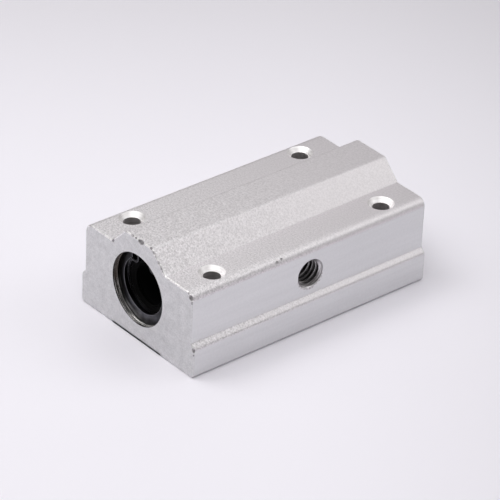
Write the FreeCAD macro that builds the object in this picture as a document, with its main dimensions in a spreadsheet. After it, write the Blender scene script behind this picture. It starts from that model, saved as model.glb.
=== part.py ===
# Linear bearing block: a long aluminium pillow block for an 8 mm shaft.
# Two recirculating ball bushings stand end to end in its bore, each held by an internal circlip.
#
# Frame: X across the block, Y along the shaft, Z up; the origin is the middle of the mounting face.
# The front end is at -Y and the tapped side port opens towards +X. Lengths are in millimetres.
import FreeCAD, Part
import math
import os
import Sketcher

PARAMETERS = [
    # housing
    ("block_width", 34.0, "width over the flanges"),
    ("block_height", 22.0, "mounting face to the top of the hat"),
    ("shoulder_height", 18.0, "mounting face to the two shoulders that carry the screws"),
    ("axis_height", 11.0, "mounting face to the shaft axis"),
    ("flange_height", 6.3, "mounting face to the foot of the sloped ledge"),
    ("ledge_step", 1.0, "how far the upper wall stands back from the flange, over a 45 degree ledge"),
    ("hat_base_width", 16.0, "width of the hat where it meets the shoulders"),
    ("hat_top_width", 8.0, "width of the flat on top of the hat"),
    ("relief_width", 14.0, "width of the shallow relief in the mounting face"),
    ("relief_depth", 0.25, "depth of that relief"),
    ("shoulder_round", 1.0, "radius of the outer shoulder edges"),
    ("foot_round", 1.1, "radius of the edges beside the mounting face"),
    ("hat_round", 0.8, "radius of the edges of the hat's flat top"),
    ("flange_round", 0.3, "radius of the flange's upper edge"),
    ("ledge_round", 0.4, "radius in the corner above the ledge"),
    ("screw_edge", 5.0, "flange side to the axis of a screw hole"),
    ("screw_end", 8.0, "end face to the axis of a screw hole"),
    ("screw_hole", 3.4, "diameter through, the core of the M4 thread cut from below"),
    ("screw_sink", 5.2, "diameter of the 90 degree countersink on the shoulder"),
    ("port_height", 11.8, "mounting face to the axis of the side port"),
    ("port_core", 5.0, "core diameter of the port's M6 thread"),
    ("port_sink", 6.4, "diameter of the port's 90 degree mouth"),
    ("land_diameter", 13.0, "diameter of the land between the two bushings"),
    ("land_length", 5.2, "length of that land, which the bushings stand against"),
    # circlips
    ("circlip_inset", 1.3, "end face to the circlip groove"),
    ("circlip_thickness", 1.0, "thickness of the circlip"),
    ("circlip_play", 0.1, "groove width beyond the circlip's thickness"),
    ("groove_depth", 0.35, "depth of the groove below the bushing's outer surface"),
    ("circlip_clearance", 0.05, "radial gap between the circlip and the bottom of its groove"),
    ("circlip_band", 2.35, "radial width opposite the gap"),
    ("circlip_neck", 1.75, "radial width beside the ears"),
    ("circlip_gap", 3.1, "width of the gap between the two ears"),
    ("circlip_ear_reach", 2.9, "outer edge to the tip of an ear"),
    ("circlip_ear_radius", 1.3, "radius of the rounded ear"),
    ("circlip_eye", 1.2, "diameter of the plier hole in an ear"),
    # ball bushings
    ("shaft_diameter", 8.0, "shaft that the loaded balls run on"),
    ("bushing_diameter", 15.0, "outer diameter of the sleeve"),
    ("bushing_length", 24.0, "length of the sleeve"),
    ("seat_clearance", 0.01, "radial clearance of the sleeve in the bore"),
    ("ball_diameter", 1.588, "bearing ball"),
    ("ball_clearance", 0.03, "running clearance round a ball"),
    ("ball_gap", 0.02, "least gap between neighbouring balls"),
    ("circuit_count", 4, "ball circuits in each bushing"),
    ("load_length", 13.0, "straight length of a ball row"),
    ("row_offset", 1.2, "middle of the circuit to either of its two rows"),
    ("return_lift", 0.55, "how far the returning row runs outside the loaded row"),
    ("ramp_length", 1.6, "length over which a ball leaves or joins the loaded row"),
    ("raceway_clearance", 0.01, "gap between a loaded ball and its raceway"),
    ("cage_inner_diameter", 8.7, "inner diameter of the cage"),
    ("cage_clearance", 0.08, "radial clearance of the cage under the raceways"),
    ("seal_inset", 0.5, "end of the sleeve to the face of the end seal"),
    ("seal_thickness", 0.9, "thickness of the end seal"),
    ("seal_pinch", 0.01, "radial gap between the end seal and the sleeve"),
    ("lip_clearance", 0.05, "radial gap between the seal's lip and the shaft"),
    ("cage_end_play", 0.05, "gap between the cage and the end seals"),
]

TOUCH = 1e-4  # how close two places are when they are the same
OCTAGON = math.tan(math.pi / 8)  # half an octagon's side, for an octagon one unit from middle to side

doc = FreeCAD.newDocument("linear_bearing_block")
sheet = doc.addObject("Spreadsheet::Sheet", "params")
for row, (alias, value, note) in enumerate(PARAMETERS, 1):
    sheet.set(f"A{row}", alias)
    sheet.set(f"B{row}", str(value))
    sheet.set(f"C{row}", note)
    sheet.setAlias(f"B{row}", alias)

# Sizes that several pieces share, each worked out once from the driving values above.
DERIVED = [
    ("groove_inner", "circlip_inset + circlip_thickness + circlip_play"),
    ("block_length", "2 * (groove_inner + bushing_length) + land_length"),
    ("wall_x", "block_width / 2 - ledge_step"),
    ("ledge_top", "flange_height + ledge_step"),
    ("screw_x", "block_width / 2 - screw_edge"),
    ("screw_y", "block_length / 2 - screw_end"),
    ("seat_radius", "bushing_diameter / 2 + seat_clearance"),
    ("groove_radius", "bushing_diameter / 2 + groove_depth"),
    ("bushing_place", "land_length / 2 + bushing_length / 2"),
    ("circlip_place", "block_length / 2 - circlip_inset - (circlip_thickness + circlip_play) / 2"),
    ("circlip_radius", "groove_radius - circlip_clearance"),
    ("circlip_eye_inner", "circlip_radius - (circlip_band + circlip_neck) / 2"),
    ("circlip_shift", "(circlip_band - circlip_neck) / 2"),
    ("ear_circle", "circlip_radius - circlip_ear_reach + circlip_ear_radius"),
    ("ear_x", "circlip_gap / 2 + 0.9 * circlip_ear_radius"),
    ("ear_z", "sqrt(ear_circle ^ 2 - ear_x ^ 2)"),
    ("ball_radius", "ball_diameter / 2"),
    ("load_radius", "shaft_diameter / 2 + ball_radius"),
    ("return_radius", "load_radius + return_lift"),
    ("load_height", "sqrt(load_radius ^ 2 - row_offset ^ 2)"),
    ("return_height", "sqrt(return_radius ^ 2 - row_offset ^ 2)"),
    ("raceway_radius", "load_radius + ball_radius + raceway_clearance"),
    ("track_half", "ball_radius + ball_clearance"),
    ("cage_floor", "return_height - track_half"),
    ("window_half", "sqrt(ball_radius ^ 2 - (load_height - cage_floor) ^ 2) + ball_clearance"),
    ("cage_radius", "raceway_radius - cage_clearance"),
    ("track_outer", "row_offset + track_half"),
    ("track_inner", "row_offset - track_half"),
    ("track_end", "load_length / 2 + track_outer"),
    ("track_start", "load_length / 2 - ramp_length - ball_radius / 4"),
    ("seal_place", "bushing_length / 2 - seal_inset - seal_thickness / 2"),
    ("cage_half", "seal_place - seal_thickness / 2 - cage_end_play"),
]
for row, (alias, formula) in enumerate(DERIVED, len(PARAMETERS) + 2):
    sheet.set(f"A{row}", alias)
    sheet.set(f"B{row}", "=" + formula)
    sheet.setAlias(f"B{row}", alias)
doc.recompute()

ALIASES = [entry[0] for entry in PARAMETERS + DERIVED]


def size(alias):
    """The value of one named size."""
    return float(sheet.get(alias))


def linked(formula):
    """The formula with each named size written as a reference to the sheet."""
    words = formula.replace("(", " ( ").replace(")", " ) ").split()
    return " ".join("params." + word if word in ALIASES else word for word in words)


def bind(owner, place, formula):
    """Tie a property of an object to a formula of named sizes."""
    owner.setExpression(place, linked(formula))


# ---------------------------------------------------------------- sketches and features

def new_body(label):
    body = doc.addObject("PartDesign::Body", label)
    body.Label = label
    return body


def sketch_on(body, role, name, **offset):
    """A sketch on one of the body's own planes, moved by formulas such as z="shoulder_height"."""
    sketch = body.newObject("Sketcher::SketchObject", name)
    plane = next(item for item in body.Origin.OriginFeatures if item.Role == role)
    sketch.AttachmentSupport = [(plane, "")]
    sketch.MapMode = "FlatFace"
    for axis, formula in offset.items():
        bind(sketch, f"AttachmentOffset.Base.{axis}", formula)
    return sketch


def fix(sketch, kind, formula, *where):
    """Add a size to the sketch and tie it to its formula."""
    value = float(sheet.evalExpression(formula))
    number = sketch.addConstraint(Sketcher.Constraint(kind, *where, value))
    bind(sketch, f"Constraints[{number}]", formula)


def fix_point(sketch, geometry, point, across, up):
    """Tie a point of the sketch to two formulas, measured from the sketch's origin."""
    fix(sketch, "DistanceX", across, -1, 1, geometry, point)
    fix(sketch, "DistanceY", up, -1, 1, geometry, point)


def outline(sketch, corners):
    """A closed outline of straight lines through corners given as pairs of formulas."""
    places = [FreeCAD.Vector(*(float(sheet.evalExpression(part)) for part in corner), 0) for corner in corners]
    count = len(places)
    lines = [Part.LineSegment(places[i], places[(i + 1) % count]) for i in range(count)]
    first = sketch.addGeometry(lines, False)[0]
    for i, corner in enumerate(corners):
        sketch.addConstraint(Sketcher.Constraint("Coincident", first + i, 2, first + (i + 1) % count, 1))
        fix_point(sketch, first + i, 1, *corner)


def circle(sketch, across, up, radius):
    """A circle whose centre and radius are formulas."""
    centre = FreeCAD.Vector(float(sheet.evalExpression(across)), float(sheet.evalExpression(up)), 0)
    ring = Part.Circle(centre, FreeCAD.Vector(0, 0, 1), float(sheet.evalExpression(radius)))
    number = sketch.addGeometry(ring, False)
    fix_point(sketch, number, 3, across, up)
    fix(sketch, "Radius", radius, number)


def long_loop(sketch, across, half_length, radius):
    """A slot along the sketch's vertical; each end turns in half an octagon round a half circle."""
    corner = f"{OCTAGON:.4f} * {radius}"
    far = [
        (f"{across} + {radius}", f"{half_length} + {corner}"),
        (f"{across} + {corner}", f"{half_length} + {radius}"),
        (f"{across} - {corner}", f"{half_length} + {radius}"),
        (f"{across} - {radius}", f"{half_length} + {corner}"),
    ]
    near = [(x, f"0 - ( {y} )") for x, y in reversed(far)]
    outline(sketch, far + near)


def pad(body, sketch, name, length):
    """Thicken a sketch by equal amounts to both sides."""
    feature = body.newObject("PartDesign::Pad", name)
    feature.Profile = sketch
    feature.Midplane = True
    bind(feature, "Length", length)
    return feature


def pocket(body, sketch, name, rise=None):
    """Cut a sketch's outline: through everything both ways, or upwards from the sketch by a rise."""
    feature = body.newObject("PartDesign::Pocket", name)
    feature.Profile = sketch
    if rise is None:
        feature.Type = "ThroughAll"
        feature.Midplane = True
    else:
        feature.Reversed = True
        bind(feature, "Length", rise)
    return feature


def turned(body, kind, sketch, name):
    """A Revolution or a Groove round the sketch's horizontal axis."""
    feature = body.newObject(f"PartDesign::{kind}", name)
    feature.Profile = sketch
    feature.ReferenceAxis = (sketch, ["H_Axis"])
    feature.Angle = 360
    return feature


def round_pattern(body, originals, name):
    """Repeat cuts round the shaft axis, once for each ball circuit."""
    feature = body.newObject("PartDesign::PolarPattern", name)
    feature.Originals = originals
    axis = next(item for item in body.Origin.OriginFeatures if item.Role == "Y_Axis")
    feature.Axis = (axis, [""])
    feature.Angle = 360
    bind(feature, "Occurrences", "circuit_count")
    body.Tip = feature
    return feature


def along_edges(shape, places):
    """Names of the straight edges along Y that pass through (x, z) places."""
    names = []
    for number, edge in enumerate(shape.Edges, 1):
        one, two = edge.Vertexes[0].Point, edge.Vertexes[-1].Point
        if math.hypot(one.x - two.x, one.z - two.z) > TOUCH:
            continue
        if any(math.hypot(one.x - x, one.z - z) < TOUCH for x, z in places):
            names.append(f"Edge{number}")
    return names


def rounded(body, name, base, edges, radius):
    """A Fillet on named edges of the feature it follows."""
    feature = body.newObject("PartDesign::Fillet", name)
    feature.Base = (base, edges)
    bind(feature, "Radius", radius)
    doc.recompute()
    return feature


def both_sides(corners):
    """Corners for positive first coordinates, followed by their mirror images in reverse order."""
    return corners + [(f"0 - ( {across} )", up) for across, up in reversed(corners)]


# ---------------------------------------------------------------- housing

def build_housing():
    """Extruded hat profile, bored, grooved, drilled and tapped."""
    body = new_body("housing")
    section = sketch_on(body, "XZ_Plane", "section")
    outline(section, both_sides([
        ("relief_width / 2", "relief_depth"),
        ("relief_width / 2", "0"),
        ("block_width / 2", "0"),
        ("block_width / 2", "flange_height"),
        ("wall_x", "ledge_top"),
        ("wall_x", "shoulder_height"),
        ("hat_base_width / 2", "shoulder_height"),
        ("hat_top_width / 2", "block_height"),
    ]))
    block = pad(body, section, "extrusion", "block_length")
    doc.recompute()

    half_width, wall = size("block_width") / 2, size("wall_x")
    rounds = [
        ("feet", half_width, 0, "foot_round"),
        ("flanges", half_width, size("flange_height"), "flange_round"),
        ("ledges", wall, size("ledge_top"), "ledge_round"),
        ("shoulders", wall, size("shoulder_height"), "shoulder_round"),
        ("hat", size("hat_top_width") / 2, size("block_height"), "hat_round"),
    ]
    for name, x, z, radius in rounds:
        edges = along_edges(block.Shape, [(x, z), (-x, z)])
        block = rounded(body, f"round_{name}", block, edges, radius)

    bore = sketch_on(body, "YZ_Plane", "bore_section", y="axis_height")
    outline(bore, both_sides([
        ("block_length / 2", "0"),
        ("block_length / 2", "seat_radius"),
        ("block_length / 2 - circlip_inset", "seat_radius"),
        ("block_length / 2 - circlip_inset", "groove_radius"),
        ("block_length / 2 - groove_inner", "groove_radius"),
        ("block_length / 2 - groove_inner", "seat_radius"),
        ("land_length / 2", "seat_radius"),
        ("land_length / 2", "land_diameter / 2"),
    ]))
    turned(body, "Groove", bore, "bore")
    doc.recompute()

    plan = sketch_on(body, "XY_Plane", "screw_plan", z="shoulder_height")
    for across in ("screw_x", "0 - screw_x"):
        for along in ("screw_y", "0 - screw_y"):
            circle(plan, across, along, "screw_hole / 2")
    drilled(body, plan, "screw_holes", "screw_hole", "screw_sink")

    mouth = sketch_on(body, "YZ_Plane", "port_plan", z="wall_x")
    circle(mouth, "0", "port_height", "port_core / 2")
    drilled(body, mouth, "port", "port_core", "port_sink", "wall_x")
    return body


def drilled(body, sketch, name, diameter, sink, depth=None):
    """Drilled holes with a 90 degree countersink, through or to a depth."""
    doc.recompute()
    hole = body.newObject("PartDesign::Hole", name)
    hole.Profile = sketch
    hole.Threaded = False
    bind(hole, "Diameter", diameter)
    if depth is None:
        hole.DepthType = "ThroughAll"
    else:
        hole.DepthType = "Dimension"
        hole.DrillPoint = "Flat"
        bind(hole, "Depth", depth)
    hole.HoleCutType = "Countersink"
    hole.HoleCutCustomValues = True
    bind(hole, "HoleCutDiameter", sink)
    hole.HoleCutCountersinkAngle = 90
    doc.recompute()
    return hole


# ---------------------------------------------------------------- rings

def build_circlip(label):
    """Internal circlip: a band that narrows towards two rounded ears with plier holes."""
    body = new_body(label)
    band = sketch_on(body, "XZ_Plane", "band")
    circle(band, "0", "0", "circlip_radius")
    circle(band, "0", "circlip_shift", "circlip_eye_inner")
    pad(body, band, "ring", "circlip_thickness")
    ears = sketch_on(body, "XZ_Plane", "ear_plan")
    for across in ("ear_x", "0 - ear_x"):
        circle(ears, across, "ear_z", "circlip_ear_radius")
    pad(body, ears, "ears", "circlip_thickness")
    opening = sketch_on(body, "XZ_Plane", "opening")
    outline(opening, both_sides([("circlip_gap / 2", "0"), ("circlip_gap / 2", "groove_radius")]))
    pocket(body, opening, "gap")
    eyes = sketch_on(body, "XZ_Plane", "eye_plan")
    for across in ("ear_x", "0 - ear_x"):
        circle(eyes, across, "ear_z", "circlip_eye / 2")
    pocket(body, eyes, "eyes")
    return body


def build_seal(label):
    """Rubber end seal, pressed into the sleeve, with its bore wiping the shaft."""
    body = new_body(label)
    section = sketch_on(body, "YZ_Plane", "section")
    outline(section, both_sides([
        ("seal_thickness / 2", "shaft_diameter / 2 + lip_clearance"),
        ("seal_thickness / 2", "raceway_radius - seal_pinch"),
    ]))
    turned(body, "Revolution", section, "ring")
    return body


# ---------------------------------------------------------------- bushing

def build_sleeve(label):
    """Hardened sleeve: its bore is the raceways, cut back wherever the balls turn and return."""
    body = new_body(label)
    section = sketch_on(body, "YZ_Plane", "section")
    outline(section, both_sides([
        ("bushing_length / 2", "raceway_radius"),
        ("bushing_length / 2", "bushing_diameter / 2"),
    ]))
    turned(body, "Revolution", section, "tube")
    plan = sketch_on(body, "XY_Plane", "return_plan")
    upper = [
        ("track_inner", "track_start"),
        ("0 - track_outer", "track_start"),
        ("0 - track_outer", "track_end"),
        ("track_outer", "track_end"),
    ]
    lower = [(across, f"0 - {along}") for across, along in reversed(upper)]
    outline(plan, upper + lower)
    track = pocket(body, plan, "return_track", "return_height + track_half")
    round_pattern(body, [track], "return_tracks")
    return body


def build_cage(label):
    """Moulded cage: one endless track for each circuit, open to the shaft under the loaded row."""
    body = new_body(label)
    section = sketch_on(body, "YZ_Plane", "section")
    outline(section, both_sides([("cage_half", "cage_inner_diameter / 2"), ("cage_half", "cage_radius")]))
    turned(body, "Revolution", section, "tube")
    loop = sketch_on(body, "XY_Plane", "track_plan", z="cage_floor")
    long_loop(loop, "0", "load_length / 2", "track_outer")
    long_loop(loop, "0", "load_length / 2", "track_inner")
    track = pocket(body, loop, "track", "cage_radius")
    slit = sketch_on(body, "XY_Plane", "window_plan")
    long_loop(slit, "0 - row_offset", "load_length / 2", "window_half")
    window = pocket(body, slit, "window", "cage_radius")
    round_pattern(body, [track, window], "tracks")
    return body


def circuit_places():
    """Centres of the balls of one circuit: down the loaded row, round a turn, back and round again."""
    half, offset, ramp = size("load_length") / 2, size("row_offset"), size("ramp_length")
    low, high = size("load_height"), size("return_height")
    turn = math.pi * offset
    least = size("ball_diameter") + size("ball_gap")
    pitch = 2 * offset * math.asin(min(1, least / (2 * offset)))
    round_trip = 4 * half + 2 * turn
    count = int(round_trip / pitch)
    places = []
    for number in range(count):
        run = round_trip * number / count
        if run < 2 * half:
            along = run - half
            climb = max(0, (abs(along) - half + ramp) / ramp)
            places.append(FreeCAD.Vector(-offset, along, low + (high - low) * climb))
        elif run < 2 * half + turn:
            angle = (run - 2 * half) / offset
            places.append(FreeCAD.Vector(-offset * math.cos(angle), half + offset * math.sin(angle), high))
        elif run < 4 * half + turn:
            places.append(FreeCAD.Vector(offset, 3 * half + turn - run, high))
        else:
            angle = (run - 4 * half - turn) / offset
            places.append(FreeCAD.Vector(offset * math.cos(angle), -half - offset * math.sin(angle), high))
    return places


def ball(radius):
    """A ball as an icosahedron that reaches its full diameter between shaft and raceway."""
    flat = radius / math.sqrt(5)
    rings = []
    for height, twist in ((flat, 0), (-flat, 0.5)):
        angles = [2 * math.pi * (corner + twist) / 5 for corner in range(5)]
        rings.append([FreeCAD.Vector(2 * flat * math.cos(a), 2 * flat * math.sin(a), height) for a in angles])
    top, foot = FreeCAD.Vector(0, 0, radius), FreeCAD.Vector(0, 0, -radius)
    upper, lower = rings
    faces = []
    for corner in range(5):
        after = (corner + 1) % 5
        faces.append([top, upper[corner], upper[after]])
        faces.append([upper[corner], lower[corner], upper[after]])
        faces.append([upper[after], lower[corner], lower[after]])
        faces.append([foot, lower[after], lower[corner]])
    return Part.makeSolid(Part.makeShell([Part.Face(Part.makePolygon(rim + rim[:1])) for rim in faces]))


def build_circuit(label, number, places, pattern):
    """The balls of one circuit, turned round the shaft to its place in the cage."""
    item = doc.addObject("Part::Feature", label)
    item.Label = label
    balls = []
    for place in places:
        copy = pattern.copy()
        copy.translate(place)
        copy.rotate(FreeCAD.Vector(), FreeCAD.Vector(0, 1, 0), 360 / size("circuit_count") * number)
        balls.append(copy)
    item.Shape = Part.makeCompound(balls)
    return item


# ---------------------------------------------------------------- assembly

def stand(item, end, inset):
    """Place an item on the shaft axis; at the rear end it is turned to face outwards."""
    sign = 1 if end == "rear" else -1
    item.Placement = FreeCAD.Placement(
        FreeCAD.Vector(0, sign * float(sheet.evalExpression(inset)), size("axis_height")),
        FreeCAD.Rotation(FreeCAD.Vector(0, 0, 1), 180 if sign > 0 else 0),
    )
    bind(item, "Placement.Base.y", inset if sign > 0 else f"0 - ( {inset} )")
    bind(item, "Placement.Base.z", "axis_height")


subparts = [build_housing()]
places = circuit_places()
pattern = ball(size("ball_radius"))
for end in ("front", "rear"):
    circlip = build_circlip(f"{end}_circlip")
    sleeve = build_sleeve(f"{end}_bushing_sleeve")
    cage = build_cage(f"{end}_ball_cage")
    stand(circlip, end, "circlip_place")
    stand(sleeve, end, "bushing_place")
    stand(cage, end, "bushing_place")
    subparts += [circlip, sleeve, cage]
    for number in range(int(size("circuit_count"))):
        circuit = build_circuit(f"{end}_ball_circuit_{number + 1}", number, places, pattern)
        stand(circuit, end, "bushing_place")
        subparts.append(circuit)
    for side, sign in (("outer", "+"), ("inner", "-")):
        seal = build_seal(f"{end}_{side}_seal")
        stand(seal, end, f"bushing_place {sign} seal_place")
        subparts.append(seal)
doc.recompute()

# ---------------------------------------------------------------- checks and export

for item in doc.Objects:
    if "Invalid" in item.State or "Error" in item.State:
        raise RuntimeError(f"{item.Label}: {item.State}")
for item in subparts:
    if item.Shape.isNull() or not item.Shape.isValid() or item.Shape.Volume <= 0:
        raise RuntimeError(f"{item.Label}: no valid solid")

os.makedirs("parts", exist_ok=True)
for item in subparts:
    item.Shape.exportStep(f"parts/{item.Label}.step")
    print(f"{item.Label}: {len(item.Shape.Solids)} solids, {item.Shape.Volume:.2f} mm3")
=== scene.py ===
# %% [markdown]
# # A linear bearing block, dressed for its picture
# The block carries an 8 mm shaft. It is an aluminium extrusion, bored, grooved, drilled and tapped,
# blasted and clear anodised, with two ball bushings held in its bore by black circlips.
# The CAD model is loaded first and never moves. Everything below is built round it, in metres,
# with sizes written in millimetres and turned to metres by one factor.

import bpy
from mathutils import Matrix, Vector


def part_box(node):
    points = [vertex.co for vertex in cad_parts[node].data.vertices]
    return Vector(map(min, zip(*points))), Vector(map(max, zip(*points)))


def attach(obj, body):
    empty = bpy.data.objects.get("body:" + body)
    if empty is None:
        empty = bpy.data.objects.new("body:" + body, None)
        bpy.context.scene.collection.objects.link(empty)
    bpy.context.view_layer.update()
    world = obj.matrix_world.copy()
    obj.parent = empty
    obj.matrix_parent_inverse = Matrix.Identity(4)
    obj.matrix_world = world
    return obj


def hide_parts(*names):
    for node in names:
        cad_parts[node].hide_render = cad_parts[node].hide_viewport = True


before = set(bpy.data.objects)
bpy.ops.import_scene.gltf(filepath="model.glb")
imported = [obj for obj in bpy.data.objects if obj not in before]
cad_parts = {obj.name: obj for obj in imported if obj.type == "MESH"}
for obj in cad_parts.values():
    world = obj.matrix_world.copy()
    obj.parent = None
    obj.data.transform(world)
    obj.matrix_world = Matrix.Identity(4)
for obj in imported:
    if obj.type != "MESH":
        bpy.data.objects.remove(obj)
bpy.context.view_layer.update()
MM = 0.001

# %% Tools of the lesson
import math
import random

import bmesh
import bpy
from mathutils import Euler, Vector

BLOCK_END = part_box("housing")[1].y / MM
print("The block ends at y =", round(BLOCK_END, 2), "mm, at both ends")

# %% [markdown]
# ## Colours and nodes
# Colours are written as sRGB hex values, as a maker would read them off a chart, and one function turns
# them to the linear values that Blender mixes light in. One more function adds a node with its settings.

# %% Colour and node helpers


def colour(code):
    """An sRGB hex value as linear RGBA."""
    parts = [int(code[place:place + 2], 16) / 255 for place in (1, 3, 5)]
    linear = [part / 12.92 if part <= 0.04045 else ((part + 0.055) / 1.055) ** 2.4 for part in parts]
    return (*linear, 1.0)


def add(tree, kind, inputs=None, **settings):
    """Add a node; inputs holds constants, or sockets of other nodes to link."""
    item = tree.nodes.new(kind)
    for name, value in settings.items():
        setattr(item, name, value)
    for name, value in (inputs or {}).items():
        if isinstance(value, bpy.types.NodeSocket):
            tree.links.new(value, item.inputs[name])
        else:
            item.inputs[name].default_value = value
    return item


def new_finish(name, metallic, roughness):
    """A material with its shader, its node tree and the object coordinates that patterns read."""
    finish = bpy.data.materials.new(name)
    finish.use_nodes = True
    tree = finish.node_tree
    shader = tree.nodes["Principled BSDF"]
    shader.inputs["Metallic"].default_value = metallic
    shader.inputs["Roughness"].default_value = roughness
    return finish, tree, shader, add(tree, "ShaderNodeTexCoord").outputs["Object"]


# %% [markdown]
# ## The block's finishes
# Real aluminium profile of this kind is blasted with fine grit and clear anodised. Grit leaves tiny dents
# that scatter the light, so the metal looks pale and silky and shows no mirror image. The grit is about
# 0.1 mm; it is drawn at 0.34 mm, because finer dents would vanish in the picture. The metal is given its
# two tones by a noise of that size, and the pattern fades from the front end of the block to the rear.

# %% Blasted and anodised aluminium
GRIT = 0.34
blasted, tree, shader, place = new_finish("blasted_anodised_aluminium", 1.0, 0.52)
grit = add(tree, "ShaderNodeTexNoise", {
    "Vector": place, "Scale": 1 / (GRIT * MM), "Detail": 2.0, "Roughness": 0.6})
spread = add(tree, "ShaderNodeMapRange", {"Value": grit.outputs["Fac"], "From Min": 0.28, "From Max": 0.72})
spot = add(tree, "ShaderNodeSeparateXYZ", {"Vector": place})
coarse = add(tree, "ShaderNodeMapRange", {
    "Value": spot.outputs["Y"], "From Min": -26 * MM, "From Max": 12 * MM, "To Min": 1.0, "To Max": 0.3})
tone = add(tree, "ShaderNodeMix", {
    "Factor": spread.outputs["Result"], "A": colour("#CAC6C8"), "B": colour("#FFFCFE")}, data_type="RGBA")
even = add(tree, "ShaderNodeMix", {
    "Factor": coarse.outputs["Result"], "A": colour("#E7E3E5"), "B": tone.outputs["Result"]},
    data_type="RGBA")
depth = add(tree, "ShaderNodeMath", {
    0: grit.outputs["Fac"], 1: coarse.outputs["Result"]}, operation="MULTIPLY")
dents = add(tree, "ShaderNodeBump", {
    "Height": depth.outputs["Value"], "Strength": 0.7, "Distance": 0.04 * MM})
tree.links.new(dents.outputs["Normal"], shader.inputs["Normal"])
print("Grit drawn at", GRIT, "mm, coarser at the front end than at the rear")

# %% [markdown]
# The level faces, which are the top and the shoulders, are painted a shade darker towards the rear end:
# painted shade for the light that falls off away from the front. Those faces are found by how far
# across the block they lie, so that the slopes between them and the ledges outside them keep the even tone.

# %% Painted shade on the level faces towards the rear
SLOPE_MIDDLE, SLOPE_HALF = 6.0, 1.8
rear = add(tree, "ShaderNodeMapRange", {
    "Value": spot.outputs["Y"], "From Min": -15 * MM, "From Max": 29 * MM})
across = add(tree, "ShaderNodeMath", {0: spot.outputs["X"]}, operation="ABSOLUTE")
from_slope = add(tree, "ShaderNodeMath", {
    0: across.outputs["Value"], 1: SLOPE_MIDDLE * MM}, operation="SUBTRACT")
away = add(tree, "ShaderNodeMath", {0: from_slope.outputs["Value"]}, operation="ABSOLUTE")
off_slope = add(tree, "ShaderNodeMapRange", {
    "Value": away.outputs["Value"], "From Min": SLOPE_HALF * MM, "From Max": (SLOPE_HALF + 0.28) * MM})
inside = add(tree, "ShaderNodeMapRange", {
    "Value": across.outputs["Value"], "From Min": 15.35 * MM, "From Max": 14.69 * MM})
level = add(tree, "ShaderNodeMath", {
    0: off_slope.outputs["Result"], 1: inside.outputs["Result"]}, operation="MULTIPLY")
rear_shade_mask = add(tree, "ShaderNodeMath", {
    0: rear.outputs["Result"], 1: level.outputs["Value"]}, operation="MULTIPLY")
# Painted shade: the level faces are multiplied darker towards the rear end.
painted_rear_shade = add(tree, "ShaderNodeMix", {
    "Factor": rear_shade_mask.outputs["Value"], "A": even.outputs["Result"], "B": colour("#F3F2F3")},
    data_type="RGBA", blend_type="MULTIPLY")
tree.links.new(painted_rear_shade.outputs["Result"], shader.inputs["Base Color"])
print("Nodes in", blasted.name, "are", len(tree.nodes))

# %% [markdown]
# The side walls are the same metal with a finer, flatter skin. Drawing through the die leaves faint
# lines along the block, which is +Y, so a noise is stretched along Y by scaling that coordinate down.

# %% Drawn side walls
drawn, tree, shader, place = new_finish("drawn_anodised_aluminium", 1.0, 0.48)
fine = add(tree, "ShaderNodeTexNoise", {"Vector": place, "Scale": 1 / (0.5 * MM), "Detail": 3.0})
long_place = add(tree, "ShaderNodeMapping", {"Vector": place, "Scale": (1.0, 0.04, 1.0)})
lines = add(tree, "ShaderNodeTexNoise", {
    "Vector": long_place.outputs["Vector"], "Scale": 1 / (0.9 * MM), "Detail": 2.0})
both = add(tree, "ShaderNodeMath", {0: fine.outputs["Fac"], 1: lines.outputs["Fac"]}, operation="ADD")
spread = add(tree, "ShaderNodeMapRange", {"Value": both.outputs["Value"], "From Min": 0.6, "From Max": 1.4})
tone = add(tree, "ShaderNodeMix", {
    "Factor": spread.outputs["Result"], "A": colour("#DBDBDC"), "B": colour("#E3E3E4")}, data_type="RGBA")
tree.links.new(tone.outputs["Result"], shader.inputs["Base Color"])
dents = add(tree, "ShaderNodeBump", {
    "Height": both.outputs["Value"], "Strength": 0.15, "Distance": 0.01 * MM})
tree.links.new(dents.outputs["Normal"], shader.inputs["Normal"])
print("Die lines run along the block in", drawn.name)

# %% [markdown]
# The ends and the mounting face are milled before blasting, so they are the flattest surfaces. What shows
# is a soft mottle, a millimetre or two across, and a little grit.

# %% Milled ends and mounting face
milled, tree, shader, place = new_finish("milled_anodised_aluminium", 1.0, 0.5)
mottle = add(tree, "ShaderNodeTexNoise", {
    "Vector": place, "Scale": 1 / (1.6 * MM), "Detail": 3.0, "Roughness": 0.55})
grit = add(tree, "ShaderNodeTexNoise", {"Vector": place, "Scale": 1 / (0.3 * MM), "Detail": 1.0})
both = add(tree, "ShaderNodeMath", {0: mottle.outputs["Fac"], 1: grit.outputs["Fac"]}, operation="ADD")
spread = add(tree, "ShaderNodeMapRange", {"Value": both.outputs["Value"], "From Min": 0.6, "From Max": 1.4})
tone = add(tree, "ShaderNodeMix", {
    "Factor": spread.outputs["Result"], "A": colour("#CACACA"), "B": colour("#E3E3E3")}, data_type="RGBA")
tree.links.new(tone.outputs["Result"], shader.inputs["Base Color"])
dents = add(tree, "ShaderNodeBump", {
    "Height": grit.outputs["Fac"], "Strength": 0.3, "Distance": 0.015 * MM})
tree.links.new(dents.outputs["Normal"], shader.inputs["Normal"])
print("Mottle drawn at 1.6 mm in", milled.name)

# %% [markdown]
# Where an end face meets the blasted skin the edge is broken with a file and rubbed by handling, so it
# is brighter and a little shinier than the metal beside it, with specks where the grit has bitten.

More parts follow.
